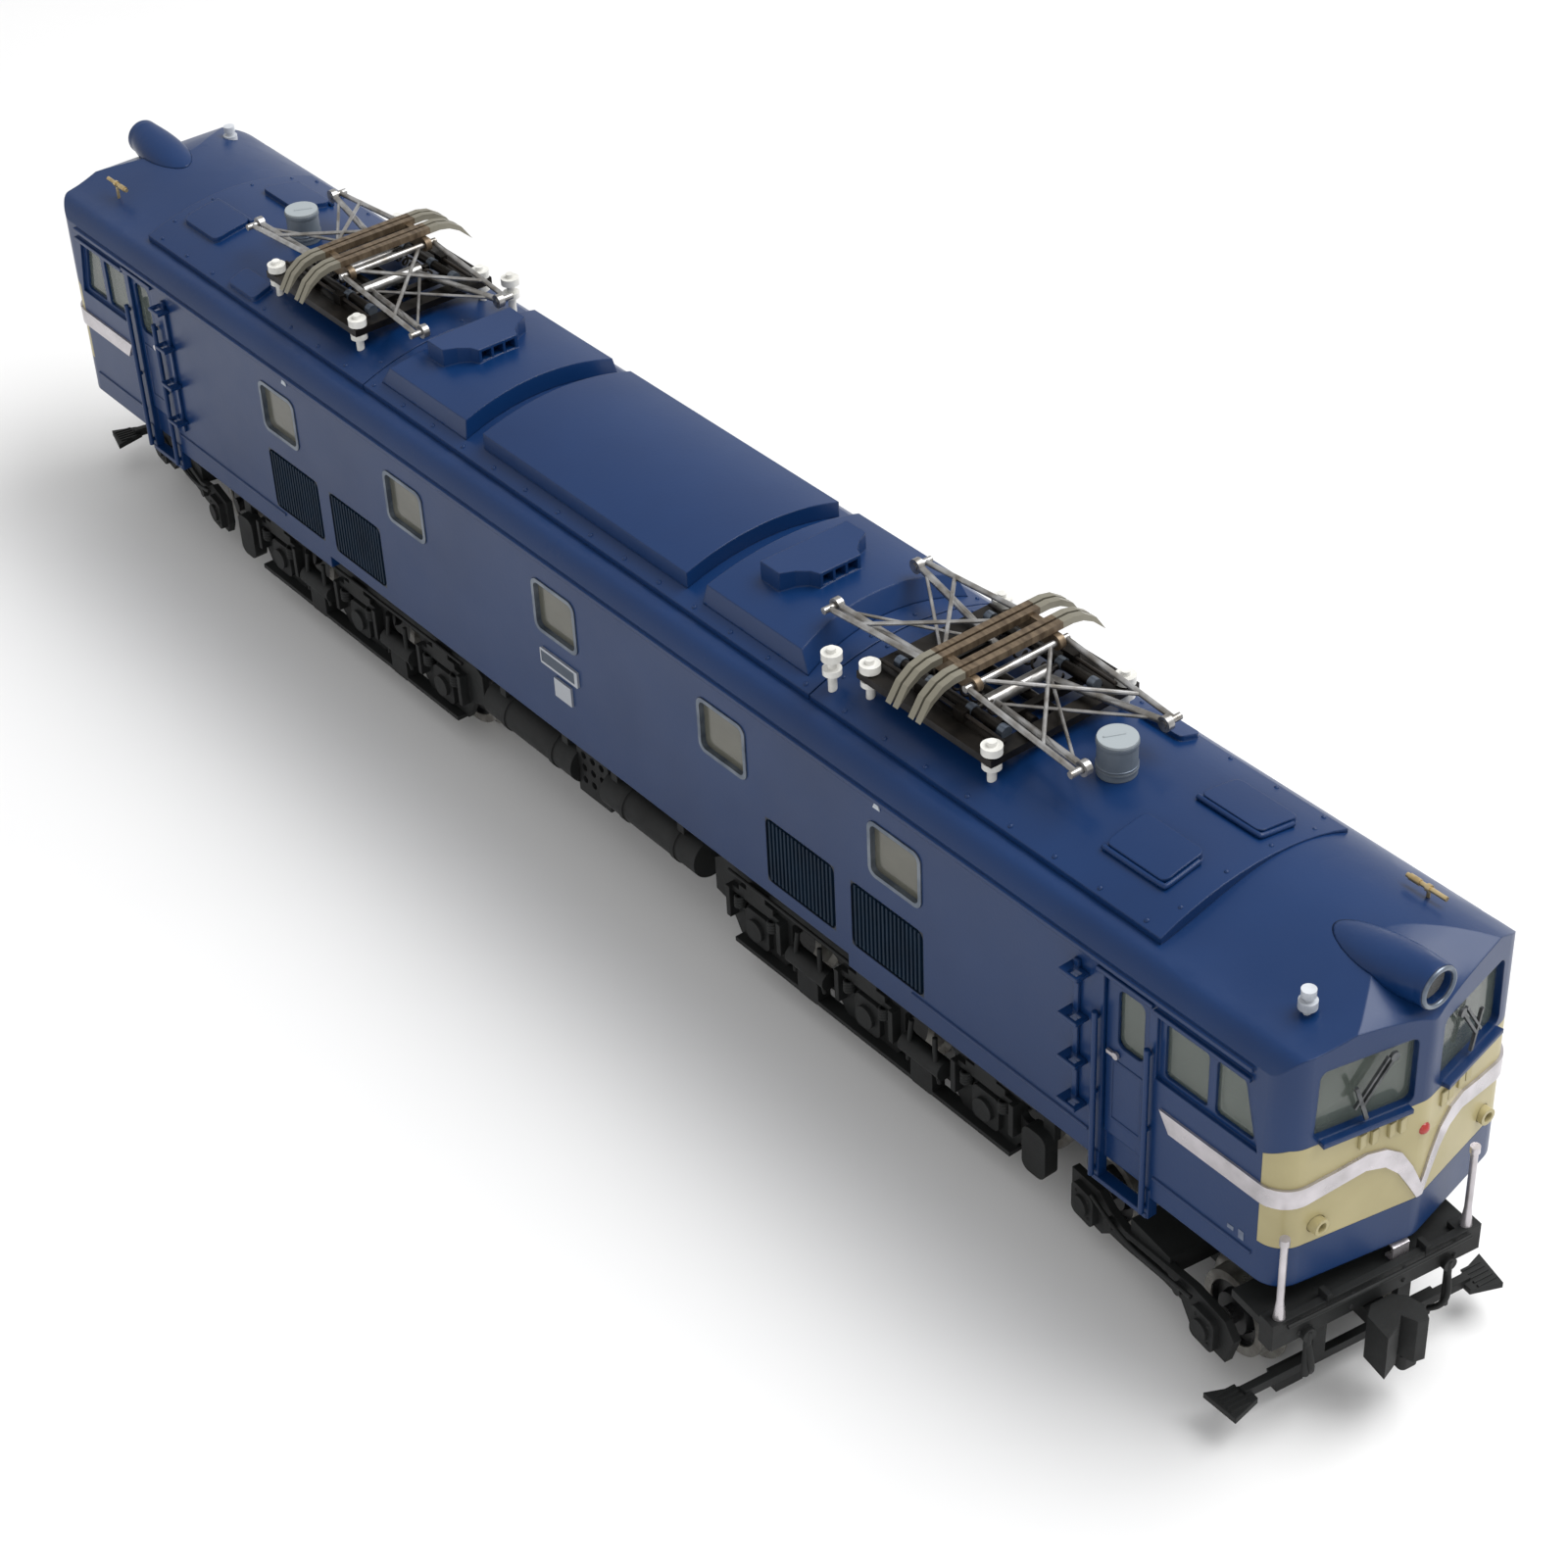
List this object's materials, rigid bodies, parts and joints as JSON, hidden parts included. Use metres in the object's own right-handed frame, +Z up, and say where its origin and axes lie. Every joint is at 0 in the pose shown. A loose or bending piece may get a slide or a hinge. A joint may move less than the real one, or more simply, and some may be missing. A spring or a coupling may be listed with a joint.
{
  "type": "model electric locomotive",
  "caption": "Scale model electric locomotive with a long panelled body, folding pantographs, swivelling powered bogies, pivoting leading trucks and swinging couplers.",
  "frame": {"origin": "centre of the model's length and width at the bottom of the wheel flanges", "axes": "+X along the body towards the front cab, +Y towards its left side, +Z up"},
  "size_m": [0.2486, 0.0428, 0.056],
  "materials": {
    "body_blue": "satin",
    "cream": "satin",
    "bright_trim": "polished",
    "clear_glazing": "clear",
    "louvre_navy": "matt",
    "plate_metal": "satin",
    "underframe_black": "matt",
    "wheel_steel": "satin",
    "whistle_brass": "polished",
    "insulator_white": "satin",
    "panto_bronze": "blackened",
    "panto_silver": "satin",
    "cylinder_grey": "satin",
    "motor_steel": "satin",
    "flywheel_brass": "turned",
    "cab_green": "matt"
  },
  "bodies": {
    "locomotive": {"body_shell": "body_blue", "nose_bands": "cream", "cab_doors": "body_blue", "door_handles": "bright_trim", "door_handrails": "body_blue", "ladders": "body_blue", "side_glazing": "clear_glazing", "side_window_rims": "bright_trim", "cab_glazing": "clear_glazing", "louvres": "louvre_navy", "trim_strips": "bright_trim", "blank_plates": "plate_metal", "headlight_housings": "body_blue", "headlight_lenses": "clear_glazing", "tail_lamps": "cream", "wipers": "bright_trim", "whistles": "whistle_brass", "antennas": "insulator_white", "roof_deck": "body_blue", "centre_roof_panel": "body_blue", "roof_monitors": "body_blue", "roof_cylinders": "cylinder_grey", "insulators": "insulator_white", "panto_base_front": "panto_bronze", "panto_base_rear": "panto_bronze", "chassis_frame": "underframe_black", "air_tanks": "underframe_black", "motor": "motor_steel", "drive_shaft": "flywheel_brass", "cab_interiors": "cab_green"},
    "bogie_front": {"motor_bogie_front": "underframe_black"},
    "driver_front_1": {"driver_axle_front_1": "wheel_steel"},
    "driver_front_2": {"driver_axle_front_2": "wheel_steel"},
    "driver_front_3": {"driver_axle_front_3": "wheel_steel"},
    "truck_front": {"leading_truck_front": "underframe_black", "deck_posts_front": "bright_trim"},
    "leading_front_1": {"leading_axle_front_1": "wheel_steel"},
    "leading_front_2": {"leading_axle_front_2": "wheel_steel"},
    "coupler_front": {"coupler_front": "underframe_black"},
    "panto_lower_front_a": {"lower_arm_front_a": "panto_silver"},
    "panto_upper_front_a": {"upper_arm_front_a": "panto_silver"},
    "panto_lower_front_b": {"lower_arm_front_b": "panto_silver"},
    "panto_upper_front_b": {"upper_arm_front_b": "panto_silver"},
    "panto_head_front": {"collector_front": "panto_bronze"},
    "bogie_rear": {"motor_bogie_rear": "underframe_black"},
    "driver_rear_1": {"driver_axle_rear_1": "wheel_steel"},
    "driver_rear_2": {"driver_axle_rear_2": "wheel_steel"},
    "driver_rear_3": {"driver_axle_rear_3": "wheel_steel"},
    "truck_rear": {"leading_truck_rear": "underframe_black", "deck_posts_rear": "bright_trim"},
    "leading_rear_1": {"leading_axle_rear_1": "wheel_steel"},
    "leading_rear_2": {"leading_axle_rear_2": "wheel_steel"},
    "coupler_rear": {"coupler_rear": "underframe_black"},
    "panto_lower_rear_a": {"lower_arm_rear_a": "panto_silver"},
    "panto_upper_rear_a": {"upper_arm_rear_a": "panto_silver"},
    "panto_lower_rear_b": {"lower_arm_rear_b": "panto_silver"},
    "panto_upper_rear_b": {"upper_arm_rear_b": "panto_silver"},
    "panto_head_rear": {"collector_rear": "panto_bronze"}
  },
  "joints": [
    {"name": "bogie_swivel_front", "type": "hinge", "parent": "locomotive", "child": "bogie_front", "pos_m": [0.0515, 0, 0.0155], "axis": [0, 0, 1], "range_deg": [-3, 3]},
    {"name": "driver_spin_front_1", "type": "hinge", "parent": "bogie_front", "child": "driver_front_1", "pos_m": [0.032, 0, 0.0079], "axis": [0, 1, 0], "continuous": true},
    {"name": "driver_spin_front_2", "type": "hinge", "parent": "bogie_front", "child": "driver_front_2", "pos_m": [0.0515, 0, 0.0079], "axis": [0, 1, 0], "continuous": true},
    {"name": "driver_spin_front_3", "type": "hinge", "parent": "bogie_front", "child": "driver_front_3", "pos_m": [0.071, 0, 0.0079], "axis": [0, 1, 0], "continuous": true},
    {"name": "truck_swivel_front", "type": "hinge", "parent": "bogie_front", "child": "truck_front", "pos_m": [0.084, 0, 0.008], "axis": [0, 0, 1], "range_deg": [-1, 17]},
    {"name": "leading_spin_front_1", "type": "hinge", "parent": "truck_front", "child": "leading_front_1", "pos_m": [0.08846, -0.00063, 0.00575], "axis": [0.1392, 0.9903, 0], "continuous": true},
    {"name": "leading_spin_front_2", "type": "hinge", "parent": "truck_front", "child": "leading_front_2", "pos_m": [0.10876, -0.00348, 0.00575], "axis": [0.1392, 0.9903, 0], "continuous": true},
    {"name": "coupler_swing_front", "type": "hinge", "parent": "truck_front", "child": "coupler_front", "pos_m": [0.11193, -0.00392, 0.0099], "axis": [0, 0, 1], "range_deg": [-8, 8]},
    {"name": "panto_raise_front_a", "type": "hinge", "parent": "locomotive", "child": "panto_lower_front_a", "pos_m": [0.0612, 0, 0.0512], "axis": [0, -1, 0], "range_deg": [0, 60]},
    {"name": "panto_knuckle_front_a", "type": "hinge", "parent": "panto_lower_front_a", "child": "panto_upper_front_a", "pos_m": [0.07713, 0, 0.0527], "axis": [0, 1, 0], "range_deg": [0, 120]},
    {"name": "panto_raise_front_b", "type": "hinge", "parent": "locomotive", "child": "panto_lower_front_b", "pos_m": [0.0552, 0, 0.0512], "axis": [0, 1, 0], "range_deg": [0, 60]},
    {"name": "panto_knuckle_front_b", "type": "hinge", "parent": "panto_lower_front_b", "child": "panto_upper_front_b", "pos_m": [0.03927, 0, 0.0527], "axis": [0, -1, 0], "range_deg": [0, 120]},
    {"name": "panto_head_front", "type": "hinge", "parent": "panto_upper_front_a", "child": "panto_head_front", "pos_m": [0.0612, 0, 0.0542], "axis": [0, -1, 0], "range_deg": [0, 60]},
    {"name": "bogie_swivel_rear", "type": "hinge", "parent": "locomotive", "child": "bogie_rear", "pos_m": [-0.0515, 0, 0.0155], "axis": [0, 0, 1], "range_deg": [-3, 3]},
    {"name": "driver_spin_rear_1", "type": "hinge", "parent": "bogie_rear", "child": "driver_rear_1", "pos_m": [-0.032, 0, 0.0079], "axis": [0, 1, 0], "continuous": true},
    {"name": "driver_spin_rear_2", "type": "hinge", "parent": "bogie_rear", "child": "driver_rear_2", "pos_m": [-0.0515, 0, 0.0079], "axis": [0, 1, 0], "continuous": true},
    {"name": "driver_spin_rear_3", "type": "hinge", "parent": "bogie_rear", "child": "driver_rear_3", "pos_m": [-0.071, 0, 0.0079], "axis": [0, 1, 0], "continuous": true},
    {"name": "truck_swivel_rear", "type": "hinge", "parent": "bogie_rear", "child": "truck_rear", "pos_m": [-0.084, 0, 0.008], "axis": [0, 0, 1], "range_deg": [-1, 17]},
    {"name": "leading_spin_rear_1", "type": "hinge", "parent": "truck_rear", "child": "leading_rear_1", "pos_m": [-0.08846, 0.00063, 0.00575], "axis": [0.1392, 0.9903, 0], "continuous": true},
    {"name": "leading_spin_rear_2", "type": "hinge", "parent": "truck_rear", "child": "leading_rear_2", "pos_m": [-0.10876, 0.00348, 0.00575], "axis": [0.1392, 0.9903, 0], "continuous": true},
    {"name": "coupler_swing_rear", "type": "hinge", "parent": "truck_rear", "child": "coupler_rear", "pos_m": [-0.11193, 0.00392, 0.0099], "axis": [0, 0, 1], "range_deg": [-8, 8]},
    {"name": "panto_raise_rear_a", "type": "hinge", "parent": "locomotive", "child": "panto_lower_rear_a", "pos_m": [-0.0612, 0, 0.0512], "axis": [0, 1, 0], "range_deg": [0, 60]},
    {"name": "panto_knuckle_rear_a", "type": "hinge", "parent": "panto_lower_rear_a", "child": "panto_upper_rear_a", "pos_m": [-0.07713, 0, 0.0527], "axis": [0, -1, 0], "range_deg": [0, 120]},
    {"name": "panto_raise_rear_b", "type": "hinge", "parent": "locomotive", "child": "panto_lower_rear_b", "pos_m": [-0.0552, 0, 0.0512], "axis": [0, -1, 0], "range_deg": [0, 60]},
    {"name": "panto_knuckle_rear_b", "type": "hinge", "parent": "panto_lower_rear_b", "child": "panto_upper_rear_b", "pos_m": [-0.03927, 0, 0.0527], "axis": [0, 1, 0], "range_deg": [0, 120]},
    {"name": "panto_head_rear", "type": "hinge", "parent": "panto_upper_rear_a", "child": "panto_head_rear", "pos_m": [-0.0612, 0, 0.0542], "axis": [0, 1, 0], "range_deg": [0, 60]}
  ],
  "couplings": [
    {"joint": "driver_spin_front_1", "follows": "driver_spin_front_2", "ratio": 1},
    {"joint": "driver_spin_front_3", "follows": "driver_spin_front_2", "ratio": 1},
    {"joint": "panto_knuckle_front_a", "follows": "panto_raise_front_a", "ratio": 2},
    {"joint": "panto_raise_front_b", "follows": "panto_raise_front_a", "ratio": 1},
    {"joint": "panto_knuckle_front_b", "follows": "panto_raise_front_a", "ratio": 2},
    {"joint": "panto_head_front", "follows": "panto_raise_front_a", "ratio": 1},
    {"joint": "driver_spin_rear_1", "follows": "driver_spin_rear_2", "ratio": 1},
    {"joint": "driver_spin_rear_3", "follows": "driver_spin_rear_2", "ratio": 1},
    {"joint": "panto_knuckle_rear_a", "follows": "panto_raise_rear_a", "ratio": 2},
    {"joint": "panto_raise_rear_b", "follows": "panto_raise_rear_a", "ratio": 1},
    {"joint": "panto_knuckle_rear_b", "follows": "panto_raise_rear_a", "ratio": 2},
    {"joint": "panto_head_rear", "follows": "panto_raise_rear_a", "ratio": 1}
  ]
}
